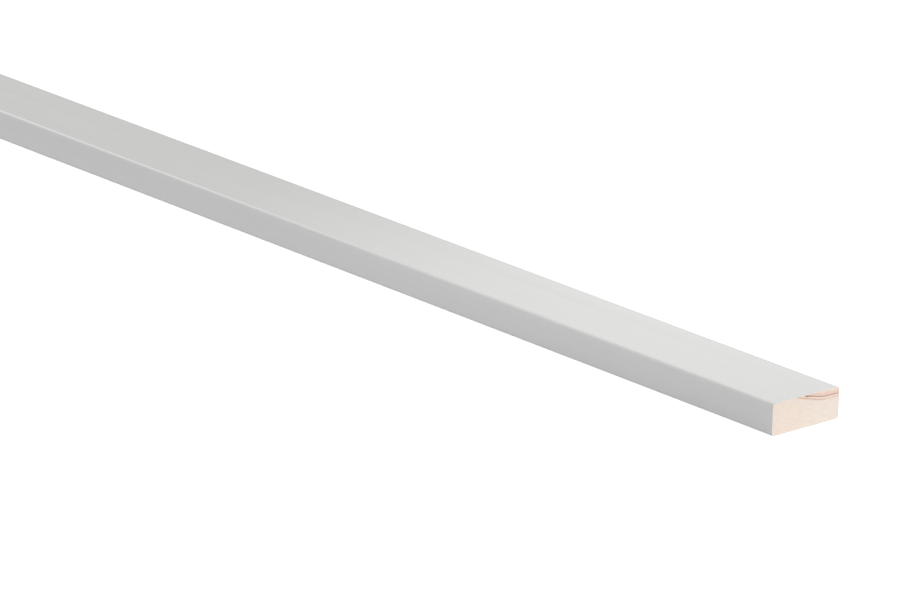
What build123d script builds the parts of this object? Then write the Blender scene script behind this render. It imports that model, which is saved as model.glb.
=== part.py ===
"""Pine finishing strip: one length of planed softwood with eased arrises and sawn ends.

The strip lies on its back. It runs along X, its width is along Y, and the face that shows looks up.
The origin is at the middle of the back face. All sizes are in millimetres.
"""

import os

from build123d import *

# Planed section
STRIP_WIDTH = 40.0
STRIP_THICKNESS = 15.0

# Length between the two square-sawn ends
STRIP_LENGTH = 2700.0

# Rounding of the long arrises, which keeps the primer from thinning on them
FACE_ARRIS_RADIUS = 1.5
BACK_ARRIS_RADIUS = 1.5

os.makedirs("parts", exist_ok=True)

with BuildPart() as finishing_strip:
    # The section is drawn at the back end, standing on the back face
    # The sketch's own X is the width and its Y the thickness
    with BuildSketch(Plane.YZ.offset(-STRIP_LENGTH / 2)) as section:
        Rectangle(STRIP_WIDTH, STRIP_THICKNESS, align=(Align.CENTER, Align.MIN))
        fillet(section.vertices().group_by(Axis.Y)[0], radius=BACK_ARRIS_RADIUS)
        fillet(section.vertices().group_by(Axis.Y)[-1], radius=FACE_ARRIS_RADIUS)
    # The planer's run from one sawn end to the other
    extrude(amount=STRIP_LENGTH)

finishing_strip.part.label = "finishing_strip"
export_step(finishing_strip.part, "parts/finishing_strip.step")
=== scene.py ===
"""Looks of a primed pine finishing strip: its dressed mesh and finishes, and the studio round it.

The strip lies on its back along X, and the sawn end that faces the camera is the one at +X. Sizes are in
metres, angles in degrees where a name says so, and colours are linear.
"""

import logging
import math
from collections.abc import Callable, Iterator
from dataclasses import dataclass, field
from enum import Enum

import bmesh
import bpy
from mathutils import Matrix, Vector, noise


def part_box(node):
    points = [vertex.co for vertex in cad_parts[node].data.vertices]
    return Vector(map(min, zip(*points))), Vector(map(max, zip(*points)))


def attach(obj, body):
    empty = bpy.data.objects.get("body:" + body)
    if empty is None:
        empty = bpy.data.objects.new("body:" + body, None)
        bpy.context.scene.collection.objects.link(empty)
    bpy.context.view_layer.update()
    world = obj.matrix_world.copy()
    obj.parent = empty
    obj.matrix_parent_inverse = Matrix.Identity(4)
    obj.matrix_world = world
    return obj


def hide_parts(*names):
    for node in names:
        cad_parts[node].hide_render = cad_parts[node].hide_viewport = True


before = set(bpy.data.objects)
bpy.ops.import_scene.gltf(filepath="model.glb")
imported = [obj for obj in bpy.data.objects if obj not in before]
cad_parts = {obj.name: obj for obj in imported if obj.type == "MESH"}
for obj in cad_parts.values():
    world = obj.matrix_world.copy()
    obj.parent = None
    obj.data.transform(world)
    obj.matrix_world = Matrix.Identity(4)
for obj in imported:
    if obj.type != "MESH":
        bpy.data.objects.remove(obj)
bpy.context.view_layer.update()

log = logging.getLogger("finishing_strip")

MM = 0.001
MICRON = 0.000001
NODE = "finishing_strip"
BODY = "root"
WHITE = (1.0, 1.0, 1.0, 1.0)

Colour = tuple[float, float, float]
Grain = tuple[float, float, float]
Point = tuple[float, float, float]
Value = bpy.types.NodeSocket | float | tuple


class Cover(Enum):
    """Material slots of the strip's mesh."""

    PRIMER = 0
    PINE = 1
    SHAKE = 2


class SawnEnd(Enum):
    """The two sawn ends, by the way along X that each one faces."""

    FRONT = 1
    BACK = -1


class ShaderGraph:
    """One node tree, with short calls for the nodes that the finishes share."""

    def __init__(self, tree: bpy.types.NodeTree) -> None:
        """Take a tree and empty it."""
        self.tree = tree
        tree.nodes.clear()

    def feed(self, socket: bpy.types.NodeSocket, value: Value) -> None:
        """Link a socket to another one, or set its value."""
        if isinstance(value, bpy.types.NodeSocket):
            self.tree.links.new(value, socket)
        else:
            socket.default_value = value

    def add(
        self,
        kind: str,
        inputs: dict[str | int, Value] | None = None,
        **settings: object,
    ) -> bpy.types.Node:
        """Add a node.

        Args:
            kind: The node's type, without its ShaderNode prefix.
            inputs: What feeds each input, by the input's name or number.
            **settings: The node's own properties.

        Returns:
            The new node.
        """
        node = self.tree.nodes.new("ShaderNode" + kind)
        for name, setting in settings.items():
            setattr(node, name, setting)
        for name, value in (inputs or {}).items():
            self.feed(node.inputs[name], value)
        return node

    def math(self, operation: str, *values: Value) -> bpy.types.NodeSocket:
        """Work out one number from others."""
        return self.add("Math", dict(enumerate(values)), operation=operation).outputs[0]

    def total(self, *values: Value) -> bpy.types.NodeSocket:
        """Add up two or more numbers."""
        first, *others = values
        for other in others:
            first = self.math("ADD", first, other)
        return first

    def weigh(self, *shares: tuple[Value, float]) -> bpy.types.NodeSocket:
        """Add up numbers, each times its weight."""
        return self.total(*(self.math("MULTIPLY", value, weight) for value, weight in shares))

    def spread(self, value: Value, low: float, high: float, top: float = 1.0) -> bpy.types.NodeSocket:
        """Map a number between low and high onto 0 to top, and clamp it."""
        ends = {"From Min": low, "From Max": high, "To Max": top}
        return self.add("MapRange", {"Value": value, **ends}).outputs[0]

    def place(self) -> bpy.types.NodeSocket:
        """Give the place on the piece, in metres."""
        return self.add("TexCoord").outputs["Object"]

    def noise(self, place: bpy.types.NodeSocket, grain: Grain, detail: float = 2.0) -> bpy.types.NodeSocket:
        """Add a noise whose grains have a given size along each axis.

        Args:
            place: The place to read the noise at.
            grain: Size of one grain along X, Y and Z.
            detail: Octaves of finer noise on top.

        Returns:
            A socket that varies round a half.
        """
        scale = tuple(1.0 / size for size in grain)
        mapped = self.add("Mapping", {"Vector": place, "Scale": scale}).outputs[0]
        return self.add("TexNoise", {"Vector": mapped, "Scale": 1.0, "Detail": detail}).outputs["Fac"]

    def blend(self, amount: Value, low: Value, high: Value) -> bpy.types.NodeSocket:
        """Mix two colours by an amount from 0 to 1."""
        node = self.add("Mix", data_type="RGBA")
        for name, value in (("Factor_Float", amount), ("A_Color", low), ("B_Color", high)):
            socket = next(s for s in node.inputs if s.identifier == name)
            self.feed(socket, (*value, 1.0) if isinstance(value, tuple) else value)
        return next(s for s in node.outputs if s.identifier == "Result_Color")

    def bump(self, height: Value) -> bpy.types.NodeSocket:
        """Give the normal of a surface that is raised by a height in metres."""
        return self.add("Bump", {"Height": height, "Strength": 1.0, "Distance": 1.0}).outputs[0]

    def surface(self, look: dict[str | int, Value]) -> None:
        """End the tree with a principled shader."""
        shader = self.add("BsdfPrincipled", look)
        self.add("OutputMaterial", {"Surface": shader.outputs[0]})


def new_material(name: str) -> tuple[bpy.types.Material, ShaderGraph]:
    """Make a material with an empty node tree."""
    material = bpy.data.materials.new(name)
    material.use_nodes = True
    return material, ShaderGraph(material.node_tree)


@dataclass(frozen=True)
class Ring:
    """One year's latewood band on a sawn end.

    Attributes:
        radius: Distance of the band's sharp outer edge from the pith.
        fade: Distance over which the wood darkens before that edge.
        strength: Darkness at the edge, from 0 for earlywood to 1 for full latewood.
        turned: Distance before the edge by which the wood has turned half dark.
        halo: Darkness just outside the edge.
        halo_fade: Distance over which that fades out.
    """

    radius: float
    fade: float
    strength: float
    turned: float = 0.0
    halo: float = 0.0
    halo_fade: float = 1.0 * MM


@dataclass(frozen=True)
class GrowthRings:
    """The tree's rings through the strip, which was sawn flat from beside the pith.

    Attributes:
        pith_y: Place of the pith across the strip.
        pith_z: Height of the pith, above the strip's face.
        wave: How far the rings swing in and out along their run.
        wave_length: Length of one swing across the strip.
        wave_crest: Place across the strip where they swing out.
        band: Width of a band's dark part.
        edge: Width of the step from a band to the next year's earlywood.
        half_dark: Share of a band's strength where its dark part starts.
        pale_from: Radius from which the rings grow paler towards the far edge.
        pale_start: Place across the strip where that starts.
        pale_end: Place where it ends.
        pale_share: How much of their strength they lose.
        inner: Radius at which the shader's ring scale starts.
        outer: Radius at which that scale ends.
        years: The rings, from the pith outwards.
    """

    pith_y: float = 18.0 * MM
    pith_z: float = 72.0 * MM
    wave: float = 0.13 * MM
    wave_length: float = 14.0 * MM
    wave_crest: float = 10.0 * MM
    band: float = 0.40 * MM
    edge: float = 0.08 * MM
    half_dark: float = 0.42
    pale_from: float = 60.4 * MM
    pale_start: float = 4.0 * MM
    pale_end: float = 15.0 * MM
    pale_share: float = 0.44
    inner: float = 50.0 * MM
    outer: float = 90.0 * MM
    years: tuple[Ring, ...] = (
        Ring(60.28 * MM, 2.70 * MM, 0.80, turned=1.25 * MM),
        Ring(61.70 * MM, 1.40 * MM, 0.92, halo=0.12),
        Ring(64.00 * MM, 1.20 * MM, 0.06),
        Ring(66.70 * MM, 1.90 * MM, 0.08),
        Ring(69.40 * MM, 2.10 * MM, 0.06),
        Ring(72.10 * MM, 2.20 * MM, 0.10),
    )

    def swing(self, y: float) -> float:
        """Give how far the rings lie outside their radius at one place across the strip."""
        return self.wave * math.cos(2.0 * math.pi * (y - self.wave_crest) / self.wave_length)

    def radius(self, y: float, z: float) -> float:
        """Give the radius of the ring through a point."""
        return math.hypot(y - self.pith_y, z - self.pith_z) - self.swing(y)

    def height(self, radius: float, y: float) -> float:
        """Give the height at which a ring crosses one place across the strip."""
        return self.pith_z - math.sqrt((radius + self.swing(y)) ** 2 - (y - self.pith_y) ** 2)

    def stops(self) -> Iterator[tuple[float, float]]:
        """Give the darkness of the wood as radius and value pairs, straight between pairs."""
        yield self.inner, 0.0
        for year in self.years:
            yield year.radius - year.fade, 0.0
            if year.turned > self.band:
                yield year.radius - year.turned, self.half_dark * year.strength
            yield year.radius - self.band, self.half_dark * year.strength
            yield year.radius - self.edge, year.strength
            yield year.radius, year.halo
            if year.halo > 0.0:
                yield year.radius + year.halo_fade, 0.0

    def latewood(self, y: float, z: float) -> float:
        """Give the darkness of the wood at one place on a sawn end.

        Args:
            y: Place across the strip.
            z: Height above the floor.

        Returns:
            From 0 for earlywood to 1 for full latewood.
        """
        radius = self.radius(y, z)
        below = (self.inner, 0.0)
        for above in self.stops():
            if radius < above[0]:
                share = (radius - below[0]) / (above[0] - below[0])
                return below[1] + (above[1] - below[1]) * share
            below = above
        return 0.0

    def from_pith(self, graph: ShaderGraph, place: bpy.types.NodeSocket) -> tuple[bpy.types.NodeSocket, ...]:
        """Add the nodes for the ring through a place and its direction from the pith.

        Args:
            graph: The material's nodes.
            place: The place on the piece.

        Returns:
            The ring's radius, and the length round the pith at a radius of one metre.
        """
        axes = graph.add("SeparateXYZ", {0: place}).outputs
        across = graph.math("SUBTRACT", axes["Y"], self.pith_y)
        down = graph.math("SUBTRACT", self.pith_z, axes["Z"])
        squares = graph.total(graph.math("MULTIPLY", across, across), graph.math("MULTIPLY", down, down))
        turns = 2.0 * math.pi / self.wave_length
        phase = graph.math("MULTIPLY_ADD", axes["Y"], turns, -self.wave_crest * turns)
        swing = graph.math("MULTIPLY", graph.math("COSINE", phase), self.wave)
        radius = graph.math("SUBTRACT", graph.math("SQRT", squares), swing)
        return radius, graph.math("ARCTAN2", across, down)

    def paling(self, graph: ShaderGraph, place: bpy.types.NodeSocket, radius: bpy.types.NodeSocket) -> Value:
        """Add the nodes for the share of its strength that a ring keeps at a place.

        Args:
            graph: The material's nodes.
            place: The place on the piece.
            radius: Radius of the ring there.

        Returns:
            From 0 to 1.
        """
        across = graph.add("SeparateXYZ", {0: place}).outputs["Y"]
        loss = graph.spread(across, self.pale_start, self.pale_end, self.pale_share)
        outside = graph.math("GREATER_THAN", radius, self.pale_from)
        return graph.math("SUBTRACT", 1.0, graph.math("MULTIPLY", loss, outside))

    def darkness(self, graph: ShaderGraph, radius: bpy.types.NodeSocket) -> bpy.types.NodeSocket:
        """Add the nodes that turn a distance from the pith into the wood's darkness.

        Args:
            graph: The material's nodes.
            radius: Distance from the pith.

        Returns:
            From 0 for earlywood to 1 for full latewood.
        """
        share = graph.math("DIVIDE", graph.math("SUBTRACT", radius, self.inner), self.outer - self.inner)
        ramp = graph.add("ValToRGB", {"Fac": share})
        elements = ramp.color_ramp.elements
        elements.remove(elements[-1])
        for radius_here, dark in self.stops():
            at = (radius_here - self.inner) / (self.outer - self.inner)
            element = elements.new(at) if at > 0.0 else elements[0]
            element.color = (dark, dark, dark, 1.0)
        return ramp.outputs["Color"]


@dataclass(frozen=True)
class PrimerFinish:
    """White primer on planed pine: smooth, nearly matt, with the grain just showing through.

    Attributes:
        rings: The wood under the primer.
        thick: Colour where the film is thick.
        thin: Colour where the film is thin and the wood warms it.
        streak_grain: Size of the planer's and brush's long streaks along each axis.
        cloud_grain: Size of the film's broad clouds.
        peel_grain: Size of the film's fine texture.
        wander_grain: Size of the rings' wanderings.
        streak_share: How much the streaks thin the film.
        cloud_share: How much the clouds thin it.
        latewood_share: How much the latewood under it thins it.
        thin_from: Sum of these at which the film starts to thin.
        thin_to: Sum at which it is thin.
        ior: Refractive index of the film.
        roughness: Mean roughness of the film.
        roughness_spread: How far the roughness varies along the streaks.
        grain_wander: How far the rings wander along the length.
        raised_grain: Height of a latewood band under the film.
        streak_height: Height of the streaks.
        peel_height: Height of the film's fine texture.
    """

    rings: GrowthRings
    thick: Colour = (0.790, 0.790, 0.775)
    thin: Colour = (0.745, 0.742, 0.722)
    streak_grain: Grain = (220.0 * MM, 3.5 * MM, 3.5 * MM)
    cloud_grain: Grain = (120.0 * MM, 50.0 * MM, 50.0 * MM)
    peel_grain: Grain = (1.4 * MM, 0.7 * MM, 0.7 * MM)
    wander_grain: Grain = (550.0 * MM, 30.0 * MM, 30.0 * MM)
    streak_share: float = 0.55
    cloud_share: float = 0.35
    latewood_share: float = 0.12
    thin_from: float = 0.35
    thin_to: float = 0.85
    ior: float = 1.46
    roughness: float = 0.40
    roughness_spread: float = 0.08
    grain_wander: float = 2.2 * MM
    raised_grain: float = 4.0 * MICRON
    streak_height: float = 6.0 * MICRON
    peel_height: float = 3.0 * MICRON

    def material(self) -> bpy.types.Material:
        """Make the finish.

        Returns:
            The new material.
        """
        material, graph = new_material("white_primer")
        place = graph.place()

        wander = graph.noise(place, self.wander_grain)
        radius, _ = self.rings.from_pith(graph, place)
        radius = graph.math("MULTIPLY_ADD", wander, self.grain_wander, radius)
        latewood = self.rings.darkness(graph, radius)

        streaks = graph.noise(place, self.streak_grain, detail=4.0)
        cloud = graph.noise(place, self.cloud_grain)
        peel = graph.noise(place, self.peel_grain)

        thinning = graph.weigh(
            (streaks, self.streak_share),
            (cloud, self.cloud_share),
            (latewood, self.latewood_share),
        )
        thinness = graph.spread(thinning, self.thin_from, self.thin_to)
        colour = graph.blend(thinness, self.thick, self.thin)

        rough_low = self.roughness - self.roughness_spread / 2
        roughness = graph.math("MULTIPLY_ADD", streaks, self.roughness_spread, rough_low)

        height = graph.weigh(
            (latewood, self.raised_grain),
            (streaks, self.streak_height),
            (peel, self.peel_height),
        )
        normal = graph.bump(height)
        graph.surface({"Base Color": colour, "Roughness": roughness, "Normal": normal, "IOR": self.ior})
        return material


@dataclass(frozen=True)
class PineFinish:
    """Bare pine across the grain, as the saw leaves it.

    Attributes:
        rings: The tree's rings.
        warm: Earlywood towards the near edge.
        cream: Earlywood towards the far edge, a little paler.
        warm_y: Place across the strip up to which it is warm.
        cream_y: Place from which it is cream.
        blush: Pinker earlywood, in patches.
        blush_grain: Size of the patches along each axis.
        blush_from: Level of the patches' noise at which they start.
        blush_full: Level at which they are all blush.
        peach: Wood on its way to latewood.
        latewood: The dark bands.
        turning: Darkness at which the wood is all peach.
        tone: Mean darkness of the earlywood.
        fibre_tone: How much the cut fibres vary it.
        ray_tone: How much the rays that run out from the pith vary it.
        line_tone: How much the fine lines along the rings vary it.
        fibre_grain: Size of the cut fibres.
        ray_grain: Size of the rays out from the pith, and round it in radians.
        line_grain: Size of the fine lines, likewise.
        resin: The resin canals' mouths.
        resin_share: How much their colour covers the wood.
        canal_cells: Canals along one metre.
        canal_size: Radius of a mouth, as a share of the space between canals.
        roughness: Roughness of the sawn wood.
        specular: How much it shines.
        fibre_height: Height of the cut fibres' fuzz.
        ray_height: Height of the rays.
    """

    rings: GrowthRings
    warm: Colour = (0.871, 0.764, 0.654)
    cream: Colour = (0.877, 0.808, 0.717)
    warm_y: float = -20.0 * MM
    cream_y: float = 12.0 * MM
    blush: Colour = (0.876, 0.754, 0.676)
    blush_grain: Grain = (9.0 * MM, 9.0 * MM, 4.0 * MM)
    blush_from: float = 0.45
    blush_full: float = 0.85
    peach: Colour = (0.850, 0.640, 0.525)
    latewood: Colour = (0.500, 0.230, 0.110)
    turning: float = 0.36
    tone: float = 0.05
    fibre_tone: float = 0.10
    ray_tone: float = 0.08
    line_tone: float = 0.52
    fibre_grain: Grain = (0.5 * MM, 0.09 * MM, 0.09 * MM)
    ray_grain: Grain = (6.0 * MM, 0.003, 1.0)
    line_grain: Grain = (0.7 * MM, 0.07, 1.0)
    resin: Colour = (0.520, 0.300, 0.160)
    resin_share: float = 0.6
    canal_cells: float = 420.0
    canal_size: float = 0.045
    roughness: float = 0.78
    specular: float = 0.3
    fibre_height: float = 25.0 * MICRON
    ray_height: float = 15.0 * MICRON

    def material(self) -> bpy.types.Material:
        """Make the finish.

        Returns:
            The new material.
        """
        material, graph = new_material("sawn_pine")
        place = graph.place()
        radius, turn = self.rings.from_pith(graph, place)
        darkness = self.rings.darkness(graph, radius)
        darkness = graph.math("MULTIPLY", darkness, self.rings.paling(graph, place, radius))

        patches = graph.noise(place, self.blush_grain)
        fibres = graph.noise(place, self.fibre_grain, detail=3.0)
        polar = graph.add("CombineXYZ", {"X": radius, "Y": turn}).outputs[0]
        rays = graph.noise(polar, self.ray_grain)
        lines = graph.noise(polar, self.line_grain, detail=3.0)

        across = graph.add("SeparateXYZ", {0: place}).outputs["Y"]
        pale = graph.spread(across, self.warm_y, self.cream_y)
        wood = graph.blend(pale, self.warm, self.cream)
        pink = graph.spread(patches, self.blush_from, self.blush_full)
        wood = graph.blend(pink, wood, self.blush)
        mottle = graph.weigh((fibres, self.fibre_tone), (rays, self.ray_tone), (lines, self.line_tone))
        middle = (self.fibre_tone + self.ray_tone + self.line_tone) / 2.0
        dark = graph.total(darkness, mottle, self.tone - middle)
        turned = graph.spread(dark, 0.0, self.turning)
        wood = graph.blend(turned, wood, self.peach)
        late = graph.spread(dark, self.turning, 1.0)
        wood = graph.blend(late, wood, self.latewood)

        cells = graph.add("TexVoronoi", {"Vector": place, "Scale": self.canal_cells})
        canal = graph.math("LESS_THAN", cells.outputs["Distance"], self.canal_size)
        wood = graph.blend(graph.math("MULTIPLY", canal, self.resin_share), wood, self.resin)

        height = graph.weigh((fibres, self.fibre_height), (rays, self.ray_height))
        graph.surface(
            {
                "Base Color": wood,
                "Roughness": self.roughness,
                "Normal": graph.bump(height),
                "Specular IOR Level": self.specular,
            }
        )
        return material


@dataclass(frozen=True)
class ShakeWallsAndPaintedShade:
    """The walls of the crack: reddish wood at its mouth, with painted shade that darkens it to near black
    towards the bottom.

    Attributes:
        mouth: Colour of the wood near the end.
        bottom: Near-black painted shade at the bottom of the crack.
        end_x: Place of the sawn end along X.
        depth: Depth over which the painted shade deepens.
        roughness: Roughness of the walls.
        specular: How much they shine.
    """

    mouth: Colour = (0.560, 0.215, 0.090)
    bottom: Colour = (0.100, 0.036, 0.018)
    end_x: float = 1350.0 * MM
    depth: float = 1.5 * MM
    roughness: float = 0.85
    specular: float = 0.1

    def material(self) -> bpy.types.Material:
        """Make the finish.

        Returns:
            The new material.
        """
        material, graph = new_material("shake_walls_painted_shade")
        along = graph.add("SeparateXYZ", {0: graph.place()}).outputs["X"]
        # painted shade: the walls darken from the wood's colour at the mouth to near black deeper in
        depth = graph.spread(along, self.end_x, self.end_x - self.depth)
        colour = graph.blend(depth, self.mouth, self.bottom)
        graph.surface(
            {
                "Base Color": colour,
                "Roughness": self.roughness,
                "Specular IOR Level": self.specular,
            }
        )
        return material


def select_only(piece: bpy.types.Object) -> None:
    """Make one object the selected and active one."""
    bpy.ops.object.select_all(action="DESELECT")
    piece.select_set(True)
    bpy.context.view_layer.objects.active = piece


def select_faces(piece: bpy.types.Object, wanted: Callable[[bmesh.types.BMFace], bool]) -> None:
    """Select some faces of the object that is being edited.

    Args:
        piece: The object, in edit mode.
        wanted: Says of a face whether it is selected.
    """
    bpy.ops.mesh.select_mode(type="FACE")
    bpy.ops.mesh.select_all(action="DESELECT")
    shape = bmesh.from_edit_mesh(piece.data)
    for face in shape.faces:
        if wanted(face):
            face.select_set(True)
    bmesh.update_edit_mesh(piece.data)


def select_edges(piece: bpy.types.Object, wanted: Callable[[bmesh.types.BMEdge], bool]) -> None:
    """Select some edges of the object that is being edited.

    Args:
        piece: The object, in edit mode.
        wanted: Says of an edge whether it is selected.
    """
    bpy.ops.mesh.select_mode(type="EDGE")
    bpy.ops.mesh.select_all(action="DESELECT")
    shape = bmesh.from_edit_mesh(piece.data)
    for edge in shape.edges:
        if wanted(edge):
            edge.select_set(True)
    bmesh.update_edit_mesh(piece.data)


def apply_modifier(piece: bpy.types.Object, kind: str, **settings: object) -> None:
    """Add a modifier to an object and apply it.

    Args:
        piece: The object.
        kind: The modifier's type.
        **settings: The modifier's own properties.
    """
    select_only(piece)
    bpy.ops.object.modifier_add(type=kind)
    modifier = piece.modifiers[-1]
    for name, setting in settings.items():
        setattr(modifier, name, setting)
    bpy.ops.object.modifier_apply(modifier=modifier.name)


@dataclass(frozen=True)
class RingShake:
    """The open crack along one ring of the front end, widest near its start and thinning to the far edge.

    Attributes:
        radius: Radius of the ring that came apart.
        start_y: Place across the strip where the crack starts.
        end_y: Place where it ends.
        stray: How far outside the ring it starts.
        stray_run: Width of the strip over which it comes back to the ring.
        gape: Width of the crack where it is widest.
        opening: Share of the run over which it opens.
        thinning: How much of its width it loses by its far tip.
        closing: Share of the run over which its far tip closes.
        bluntness: Power that rounds the two tips, where 1 is straight.
        haste: Power by which it thins early in its run.
        depth: How far it runs into the wood, where it closes to a line.
        mouth: How far the cutter stands out of the end.
        slices: Number of straight runs along the ring.
    """

    radius: float = 60.13 * MM
    start_y: float = -1.1 * MM
    end_y: float = 19.8 * MM
    stray: float = 0.36 * MM
    stray_run: float = 7.0 * MM
    gape: float = 0.46 * MM
    opening: float = 0.06
    thinning: float = 0.46
    closing: float = 0.02
    bluntness: float = 0.7
    haste: int = 4
    depth: float = 4.0 * MM
    mouth: float = 0.5 * MM
    slices: int = 24

    def cutter(self, rings: GrowthRings, end_x: float, walls: bpy.types.Material) -> bpy.types.Object:
        """Model the crack as a solid to cut away.

        Args:
            rings: The tree's rings.
            end_x: Place of the sawn end along X.
            walls: The crack's material: the wood, with painted shade that deepens into the crack.

        Returns:
            The solid.
        """
        bpy.ops.object.select_all(action="DESELECT")
        bpy.ops.mesh.primitive_cube_add(size=2.0)
        solid = bpy.context.object
        solid.data.materials.append(walls)
        bpy.ops.object.mode_set(mode="EDIT")
        for cut in range(1, self.slices):
            bpy.ops.mesh.select_all(action="SELECT")
            along = -1.0 + 2.0 * cut / self.slices
            bpy.ops.mesh.bisect(plane_co=(0.0, along, 0.0), plane_no=(0.0, 1.0, 0.0))
        bpy.ops.object.mode_set(mode="OBJECT")
        for corner in solid.data.vertices:
            corner.co = self.bent(corner.co, rings, end_x)
        bpy.ops.object.mode_set(mode="EDIT")
        bpy.ops.mesh.select_all(action="SELECT")
        bpy.ops.mesh.remove_doubles(threshold=MICRON)
        bpy.ops.object.mode_set(mode="OBJECT")
        return solid

    def swell(self, share: float) -> float:
        """Give the crack's width at a share of its run, as a share of the gape."""
        opened = min(1.0, share / self.opening) ** self.bluntness
        closed = min(1.0, (1.0 - share) / self.closing) ** self.bluntness
        thinned = 1.0 - (1.0 - share) ** self.haste
        return opened * closed * (1.0 - self.thinning * thinned)

    def bent(self, corner: Vector, rings: GrowthRings, end_x: float) -> Vector:
        """Carry one corner of a cube of side 2 onto the crack's wedge.

        Args:
            corner: The corner's place in the cube.
            rings: The tree's rings.
            end_x: Place of the sawn end along X.

        Returns:
            The place of that corner on the crack.
        """
        share = (corner.y + 1.0) / 2.0
        y = self.start_y + (self.end_y - self.start_y) * share
        swell = self.swell(share)
        inside = corner.x < 0.0
        width = 0.0 if inside else self.gape * swell
        astray = max(0.0, 1.0 - (y - self.start_y) / self.stray_run)
        z = rings.height(self.radius + self.stray * astray**2 - corner.z * width / 2.0, y)
        x = end_x - self.depth * swell if inside else end_x + self.mouth
        return Vector((x, y, z))


@dataclass(frozen=True)
class Island:
    """One rectangle of the bake map, in shares of the map's side."""

    left: float
    bottom: float
    width: float
    height: float

    def at(self, across: float, up: float) -> tuple[float, float]:
        """Place a point of the island, given from 0 to 1 each way, on the map."""
        return self.left + across * self.width, self.bottom + up * self.height


@dataclass(frozen=True)
class BakeMap:
    """The strip's own UV map: the planed faces folded into rows, with the crack and the ends under them.

    Attributes:
        low: Lowest corner of the strip.
        high: Highest corner of the strip.
        arris_radius: Rounding of the long arrises.
        shake: The crack in the front end.
        name: The map's name.
        rows: Rows that the length is folded into.
        gap: Space round the islands.
        end_height: Height of the two ends' islands.
        wall_height: Height of the crack's two islands.
    """

    low: Vector
    high: Vector
    arris_radius: float
    shake: RingShake
    name: str = "OFBake"
    rows: int = 4
    gap: float = 0.008
    end_height: float = 0.180
    wall_height: float = 0.024

    def lay(self, piece: bpy.types.Object) -> None:
        """Give the finished piece its map."""
        layer = piece.data.uv_layers.new(name=self.name)
        for face in piece.data.polygons:
            if face.material_index == Cover.SHAKE.value:
                spot = self.on_wall
            elif abs(face.normal.x) > 0.5:
                spot = self.on_end
            else:
                spot = self.on_row
            for loop in face.loop_indices:
                corner = piece.data.vertices[piece.data.loops[loop].vertex_index].co
                layer.data[loop].uv = spot(face, corner)

    def half(self, right: bool, bottom: float, height: float) -> Island:
        """Give the left or right one of two islands side by side."""
        return Island(0.5 + self.gap / 2.0 if right else self.gap, bottom, 0.5 - 1.5 * self.gap, height)

    def on_end(self, face: bpy.types.MeshPolygon, corner: Vector) -> tuple[float, float]:
        """Place a corner of a sawn end, seen from outside."""
        end = SawnEnd.FRONT if face.normal.x > 0.0 else SawnEnd.BACK
        size = self.high - self.low
        across = 0.5 + end.value * corner.y / size.y
        return self.half(end is SawnEnd.BACK, self.gap, self.end_height).at(across, corner.z / size.z)

    def on_wall(self, face: bpy.types.MeshPolygon, corner: Vector) -> tuple[float, float]:
        """Place a corner of the crack's lower or upper wall."""
        across = (corner.y - self.shake.start_y) / (self.shake.end_y - self.shake.start_y)
        inwards = (self.high.x - corner.x) / self.shake.depth
        bottom = 2.0 * self.gap + self.end_height
        upper = face.normal.z < 0.0
        return self.half(upper, bottom, self.wall_height).at(1.0 - across if upper else across, inwards)

    def on_row(self, face: bpy.types.MeshPolygon, corner: Vector) -> tuple[float, float]:
        """Place a corner of the planed faces and arrises.

        Args:
            face: The face.
            corner: The corner's place.

        Returns:
            Its place on the map.
        """
        run = (self.high.x - self.low.x) / self.rows
        row = int((face.center.x - self.low.x) / run)
        bottom = 3.0 * self.gap + self.end_height + self.wall_height
        step = (1.0 - bottom) / self.rows
        island = Island(self.gap, bottom + row * step, 1.0 - 2.0 * self.gap, step - self.gap)

        size = self.high - self.low
        whole = 2.0 * (size.y + size.z) - (8.0 - 2.0 * math.pi) * self.arris_radius
        middle = self.girth(face.center.y, face.center.z)
        girth = self.girth(corner.y, corner.z)
        girth += whole * round((middle - girth) / whole)
        return island.at((corner.x - self.low.x) / run - row, girth / whole)

    def girth(self, y: float, z: float) -> float:
        """Measure the way round the section, up the near edge, over the face and back under it.

        Args:
            y: Place of a point on the section, across the strip.
            z: Height of that point.

        Returns:
            The length from the near side of the back face to the point.
        """
        near = self.low.y + self.arris_radius
        far = self.high.y - self.arris_radius
        foot = self.low.z + self.arris_radius
        head = self.high.z - self.arris_radius
        core_y = min(max(y, near), far)
        core_z = min(max(z, foot), head)
        turn = math.atan2(core_y - y, core_z - z) % (2.0 * math.pi)
        if turn == 0.0 and core_y > near:
            turn = 2.0 * math.pi
        if turn <= 0.5 * math.pi:
            flat = core_z - foot
        elif turn <= math.pi:
            flat = head - foot + core_y - near
        elif turn <= 1.5 * math.pi:
            flat = head - foot + far - near + head - core_z
        else:
            flat = 2.0 * (head - foot) + far - near + far - core_y
        return flat + self.arris_radius * turn


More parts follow.
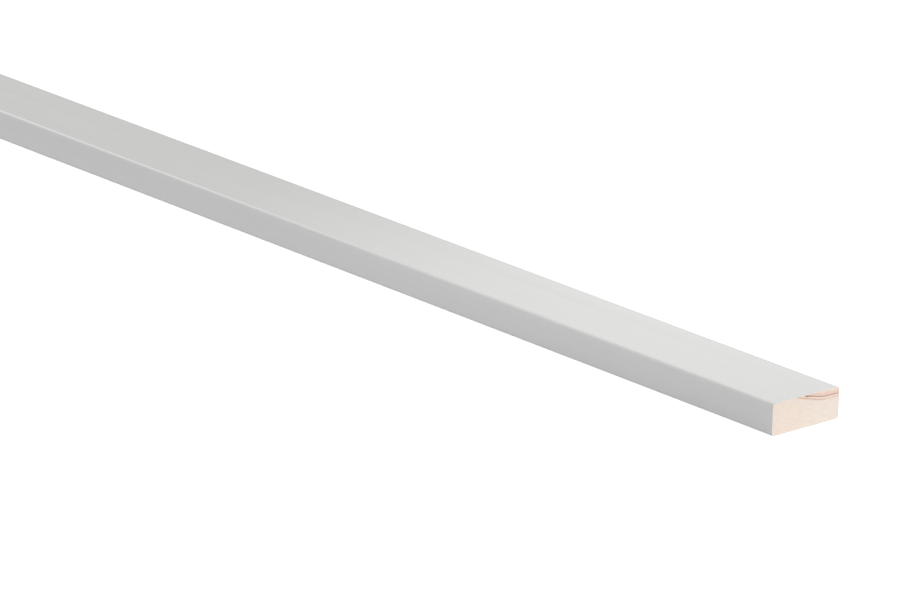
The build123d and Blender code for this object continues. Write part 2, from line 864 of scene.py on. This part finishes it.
@dataclass
class FinishingStrip:
    """The strip: planed stock with eased arrises, a film of primer and two bare sawn ends.

    Attributes:
        low: Lowest corner of the strip.
        high: Highest corner of the strip.
        rings: The tree's rings.
        shake: The crack in the front end.
        arris_radius: Rounding of the long arrises.
        arris_steps: Flats that make up one rounding.
        courses: Lengths that the long faces are cut into, in whole rows of the bake map.
        film: Thickness of the primer where the saw cut it.
        cell: Size of the ends' mesh.
        latewood_step: How far the saw leaves latewood above earlywood.
        saw_depth: Depth of the saw's marks.
        saw_pitch: Distance between the saw's marks.
        saw_lean: How far the marks lean across for each unit of height.
        fuzz: Depth of the torn fibres.
        fuzz_grain: Size of the torn fibres.
        smooth_deg: Angle between faces up to which they are shaded as one.
    """

    low: Vector
    high: Vector
    rings: GrowthRings
    shake: RingShake = field(default_factory=RingShake)
    arris_radius: float = 1.5 * MM
    arris_steps: int = 8
    courses: int = 12
    film: float = 0.12 * MM
    cell: float = 0.25 * MM
    latewood_step: float = 0.05 * MM
    saw_depth: float = 0.03 * MM
    saw_pitch: float = 1.1 * MM
    saw_lean: float = 0.35
    fuzz: float = 0.03 * MM
    fuzz_grain: float = 0.6 * MM
    smooth_deg: float = 40.0

    def build(self, finishes: dict[Cover, bpy.types.Material]) -> bpy.types.Object:
        """Model the strip.

        Args:
            finishes: The finish of each material slot.

        Returns:
            The finished piece.
        """
        size = self.high - self.low
        bpy.ops.object.select_all(action="DESELECT")
        bpy.ops.mesh.primitive_cube_add(size=1.0, location=(self.high + self.low) / 2.0, scale=size)
        strip = bpy.context.object
        strip.name = strip.data.name = "dressed_strip"
        bpy.ops.object.transform_apply(location=True, rotation=True, scale=True)
        for cover in Cover:
            strip.data.materials.append(finishes[cover])

        bpy.ops.object.mode_set(mode="EDIT")
        self.ease_arrises(strip)
        self.cut_courses()
        self.bare_ends(strip)
        bpy.ops.object.mode_set(mode="OBJECT")
        self.saw_ends(strip)
        self.open_shake(strip, finishes[Cover.SHAKE])
        self.smooth(strip)
        BakeMap(self.low, self.high, self.arris_radius, self.shake).lay(strip)
        return strip

    def ease_arrises(self, strip: bpy.types.Object) -> None:
        """Round the four long edges."""
        select_edges(strip, lambda edge: abs(edge.verts[0].co.x - edge.verts[1].co.x) > self.arris_radius)
        bpy.ops.mesh.bevel(offset=self.arris_radius, segments=self.arris_steps, profile=0.5, affect="EDGES")

    def cut_courses(self) -> None:
        """Cut the long faces across into courses."""
        course = (self.high.x - self.low.x) / self.courses
        for cut in range(1, self.courses):
            bpy.ops.mesh.select_all(action="SELECT")
            bpy.ops.mesh.bisect(plane_co=(self.low.x + cut * course, 0.0, 0.0), plane_no=(1.0, 0.0, 0.0))

    def bare_ends(self, strip: bpy.types.Object) -> None:
        """Set the ends' bare wood inside the primer's cut film, and mesh it finely."""
        select_faces(strip, lambda face: abs(face.normal.x) > 0.5)
        bpy.ops.mesh.inset(thickness=self.film, use_individual=True)
        strip.active_material_index = Cover.PINE.value
        bpy.ops.object.material_slot_assign()
        bpy.ops.mesh.hide(unselected=True)
        for axis in (1, 2):
            span = self.high[axis] - self.low[axis]
            cells = round(span / self.cell)
            normal = Vector((0.0, 0.0, 0.0))
            normal[axis] = 1.0
            for cut in range(1, cells):
                place = normal * (self.low[axis] + span * cut / cells)
                bpy.ops.mesh.select_all(action="SELECT")
                bpy.ops.mesh.bisect(plane_co=place, plane_no=normal)
        bpy.ops.mesh.reveal()

    def saw_ends(self, strip: bpy.types.Object) -> None:
        """Press the saw's relief into the bare wood, and leave the film's edge where it is."""
        pine_corners: set[int] = set()
        film_corners: set[int] = set()
        for face in strip.data.polygons:
            corners = pine_corners if face.material_index == Cover.PINE.value else film_corners
            corners.update(face.vertices)
        for index in pine_corners - film_corners:
            corner = strip.data.vertices[index]
            inwards = -math.copysign(1.0, corner.co.x)
            corner.co.x += inwards * self.relief(corner.co)

    def relief(self, place: Vector) -> float:
        """Give the depth of the sawn wood at one place.

        Args:
            place: A place on a sawn end.

        Returns:
            How far the wood lies inside the end's plane.
        """
        earlywood = 1.0 - self.rings.latewood(place.y, place.z)
        stroke = math.sin(2.0 * math.pi * (place.y + self.saw_lean * place.z) / self.saw_pitch)
        torn = noise.noise(place / self.fuzz_grain)
        depth = self.latewood_step * earlywood + self.saw_depth * (1.0 + stroke) / 2.0
        return depth + self.fuzz * (1.0 + torn) / 2.0

    def open_shake(self, strip: bpy.types.Object, walls: bpy.types.Material) -> None:
        """Cut the crack into the front end, and clear the slivers that the cut leaves."""
        cutter = self.shake.cutter(self.rings, self.high.x, walls)
        apply_modifier(strip, "BOOLEAN", operation="DIFFERENCE", object=cutter, solver="EXACT")
        bpy.data.objects.remove(cutter, do_unlink=True)
        bpy.ops.object.mode_set(mode="EDIT")
        bpy.ops.mesh.select_all(action="SELECT")
        bpy.ops.mesh.dissolve_degenerate(threshold=MICRON)
        bpy.ops.object.mode_set(mode="OBJECT")

    def smooth(self, strip: bpy.types.Object) -> None:
        """Shade the roundings smooth and keep the planed faces flat."""
        select_only(strip)
        bpy.ops.object.shade_smooth_by_angle(angle=math.radians(self.smooth_deg))
        apply_modifier(strip, "WEIGHTED_NORMAL", keep_sharp=True, weight=100)


@dataclass(frozen=True)
class Lamp:
    """A lamp of the studio, which the camera doesn't see.

    Attributes:
        name: The lamp's name.
        place: Where it hangs.
        target: What it points at.
        power: Its power in watts.
    """

    name: str
    place: Point
    target: Point
    power: float

    def hang(self) -> bpy.types.Object:
        """Hang the lamp.

        Returns:
            The lamp.
        """
        data = self.light()
        data.energy = self.power
        back = (Vector(self.place) - Vector(self.target)).normalized()
        across = Vector((-back.y, back.x, 0.0)).normalized()
        turn = Matrix((across, back.cross(across), back)).transposed().to_4x4()
        lamp = bpy.data.objects.new(self.name, data)
        lamp.matrix_world = Matrix.Translation(self.place) @ turn
        lamp.visible_camera = False
        bpy.context.scene.collection.objects.link(lamp)
        return lamp

    def light(self) -> bpy.types.Light:
        """Make the lamp's light."""
        raise NotImplementedError


@dataclass(frozen=True)
class Softbox(Lamp):
    """A level lit rectangle.

    Attributes:
        width: Size of the rectangle, level.
        height: Size across that.
    """

    width: float
    height: float

    def light(self) -> bpy.types.Light:
        """Make the lamp's light."""
        data = bpy.data.lights.new(self.name, "AREA")
        data.shape = "RECTANGLE"
        data.size = self.width
        data.size_y = self.height
        return data


@dataclass(frozen=True)
class Spot(Lamp):
    """A lit ball whose light is kept to a cone with a soft edge.

    Attributes:
        radius: Radius of the ball.
        cone_deg: Angle of the cone.
        softness: Share of the cone that its soft edge takes.
    """

    radius: float
    cone_deg: float
    softness: float

    def light(self) -> bpy.types.Light:
        """Make the lamp's light."""
        data = bpy.data.lights.new(self.name, "SPOT")
        data.shadow_soft_size = self.radius
        data.spot_size = math.radians(self.cone_deg)
        data.spot_blend = self.softness
        return data


@dataclass(frozen=True)
class Studio:
    """A white floor, a soft dome of light, two soft boxes and two spots.

    Attributes:
        floor_size: Side of the floor.
        floor_drop: How far the floor lies below the strip, so that the two don't flicker.
        floor_colour: Colour of the floor.
        floor_lift: Light that brings the lit floor up to white where it is looked at.
        dome_level: Strength of the dome's light.
        lamps: The lamps.
    """

    floor_size: float = 140.0
    floor_drop: float = 0.1 * MM
    floor_colour: Colour = (0.59, 0.59, 0.63)
    floor_lift: float = 0.86
    dome_level: float = 0.405
    lamps: tuple[Lamp, ...] = (
        Softbox("front_box", (0.15, -4.32, 1.58), (0.15, 0.0, 0.015), 39.4, 5.0, 2.4),
        Softbox("end_box", (3.00, 0.0, 0.334), (1.35, 0.0, 0.008), 15.1, 0.88, 0.55),
        Spot("arris_spot", (-5.96, -1.36, 5.46), (-0.25, 0.0, 0.015), 780.0, 0.12, 14.5, 0.32),
        Spot("back_spot", (1.400, 0.964, 1.149), (1.400, 0.0, 0.015), 35.0, 0.05, 35.3, 1.0),
    )

    def build(self) -> None:
        """Make the floor, the dome and the lamps."""
        self.lay_floor()
        self.hang_dome()
        for lamp in self.lamps:
            lamp.hang()
            log.info("%s: %.1f W", lamp.name, lamp.power)

    @staticmethod
    def looked_at(graph: ShaderGraph) -> bpy.types.NodeSocket:
        """Give 1 where the camera sees a surface, straight or in a reflection, and 0 for its light."""
        path = graph.add("LightPath").outputs
        seen = graph.math("MAXIMUM", path["Is Camera Ray"], path["Is Glossy Ray"])
        return graph.math("MAXIMUM", seen, path["Is Transmission Ray"])

    def lay_floor(self) -> bpy.types.Object:
        """Make the floor.

        Returns:
            The floor.
        """
        bpy.ops.object.select_all(action="DESELECT")
        bpy.ops.mesh.primitive_plane_add(size=self.floor_size, location=(0.0, 0.0, -self.floor_drop))
        floor = bpy.context.object
        floor.name = "studio_floor"
        material, graph = new_material("white_floor")
        material.cycles.emission_sampling = "NONE"
        graph.surface(
            {
                "Base Color": (*self.floor_colour, 1.0),
                "Roughness": 1.0,
                "Specular IOR Level": 0.0,
                "Emission Color": WHITE,
                "Emission Strength": graph.math("MULTIPLY", self.looked_at(graph), self.floor_lift),
            }
        )
        floor.data.materials.append(material)
        return floor

    def hang_dome(self) -> None:
        """Make the dome: soft white light all round, white where it is looked at."""
        world = bpy.data.worlds.new("studio_dome")
        world.use_nodes = True
        world.cycles.sampling_method = "NONE"
        bpy.context.scene.world = world
        graph = ShaderGraph(world.node_tree)
        span = 1.0 - self.dome_level
        level = graph.math("MULTIPLY_ADD", self.looked_at(graph), span, self.dome_level)
        dome = graph.add("Background", {"Color": WHITE, "Strength": level})
        graph.add("OutputWorld", {"Surface": dome.outputs[0]})


@dataclass(frozen=True)
class PhotoCamera:
    """The photograph's camera, as fitted to the strip's long edges and its sawn end.

    Attributes:
        image: Width and height of the image in pixels.
        focal_px: Focal length in pixels.
        sensor_mm: Width of the sensor.
        azimuth_deg: Direction of view; 0 looks along +Y and 90 along -X.
        elevation_deg: Height of the camera above the strip.
        roll_deg: Turn about the line of sight.
        corner_px: Pixel of the sawn end's upper near corner, before rounding.
        thickness_px: Pixels that the strip's thickness spans there, seen square on.
    """

    image: tuple[int, int] = (900, 599)
    focal_px: float = 6700.0
    sensor_mm: float = 36.0
    azimuth_deg: float = 48.715
    elevation_deg: float = 18.307
    roll_deg: float = 1.267
    corner_px: tuple[float, float] = (773.12, 404.29)
    thickness_px: float = 34.687

    def place(self, low: Vector, high: Vector) -> bpy.types.Object:
        """Put the camera where it sees the strip as the photograph does.

        Args:
            low: Lowest corner of the strip.
            high: Highest corner of the strip.

        Returns:
            The camera.
        """
        azimuth = math.radians(self.azimuth_deg)
        elevation = math.radians(self.elevation_deg)
        roll = math.radians(self.roll_deg)
        back = Vector(
            (
                math.sin(azimuth) * math.cos(elevation),
                -math.cos(azimuth) * math.cos(elevation),
                math.sin(elevation),
            )
        )
        level = Vector((math.cos(azimuth), math.sin(azimuth), 0.0))
        upright = back.cross(level)
        right = level * math.cos(roll) + upright * math.sin(roll)
        up = upright * math.cos(roll) - level * math.sin(roll)

        distance = self.focal_px * (high.z - low.z) / self.thickness_px
        aside = (self.corner_px[0] - self.image[0] / 2.0) / self.focal_px
        below = (self.corner_px[1] - self.image[1] / 2.0) / self.focal_px
        corner = Vector((high.x, low.y, high.z))
        eye = corner - distance * (right * aside - up * below - back)

        data = bpy.data.cameras.new("photo_camera")
        data.sensor_width = self.sensor_mm
        data.lens = self.focal_px / self.image[0] * self.sensor_mm
        camera = bpy.data.objects.new("photo_camera", data)
        turn = Matrix((right, up, back)).transposed().to_4x4()
        camera.matrix_world = Matrix.Translation(eye) @ turn
        bpy.context.scene.collection.objects.link(camera)
        bpy.context.scene.camera = camera
        return camera


def main() -> None:
    """Build the strip and its studio."""
    logging.basicConfig(level=logging.INFO, format="%(name)s: %(message)s")
    bpy.context.scene.view_settings.view_transform = "Standard"
    low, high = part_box(NODE)
    rings = GrowthRings()
    strip = FinishingStrip(Vector(low), Vector(high), rings)
    finishes = {
        Cover.PRIMER: PrimerFinish(rings).material(),
        Cover.PINE: PineFinish(rings).material(),
        Cover.SHAKE: ShakeWallsAndPaintedShade(end_x=high[0]).material(),
    }
    piece = strip.build(finishes)
    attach(piece, BODY)
    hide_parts(NODE)
    log.info("%s: %d faces", piece.name, len(piece.data.polygons))

    Studio().build()
    camera = PhotoCamera().place(strip.low, strip.high)
    log.info("%s: lens %.0f mm", camera.name, camera.data.lens)


if __name__ == "__main__":
    main()
